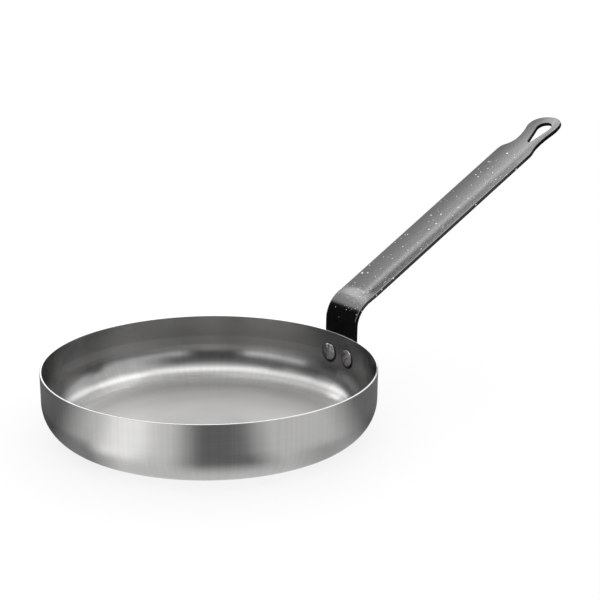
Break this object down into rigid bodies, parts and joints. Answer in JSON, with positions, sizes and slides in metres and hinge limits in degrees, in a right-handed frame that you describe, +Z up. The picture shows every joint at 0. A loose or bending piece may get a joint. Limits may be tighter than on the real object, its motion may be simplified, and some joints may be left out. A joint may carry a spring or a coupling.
{
  "type": "omelette pan",
  "caption": "Low round steel frying pan with rounded corners and a long upswept strip handle riveted to its wall, ending in an eye to hang it by.",
  "frame": {"origin": "centre of the underside of the base, on the pan's axis, where it stands", "axes": "+Z up along the pan's axis; the handle leaves the wall towards +X; +Y is to the left of the handle, seen from the pan"},
  "size_m": [0.4824, 0.254, 0.1926],
  "materials": {
    "spun_steel": "fine circular brushing, satin",
    "speckled_enamel": "black enamel with small white speckles, semi-gloss",
    "rivet_steel": "dull, hammered"
  },
  "bodies": {
    "root": {"pan_body": "spun_steel", "handle": "speckled_enamel", "rivet_left": "rivet_steel", "rivet_right": "rivet_steel"}
  },
  "joints": []
}
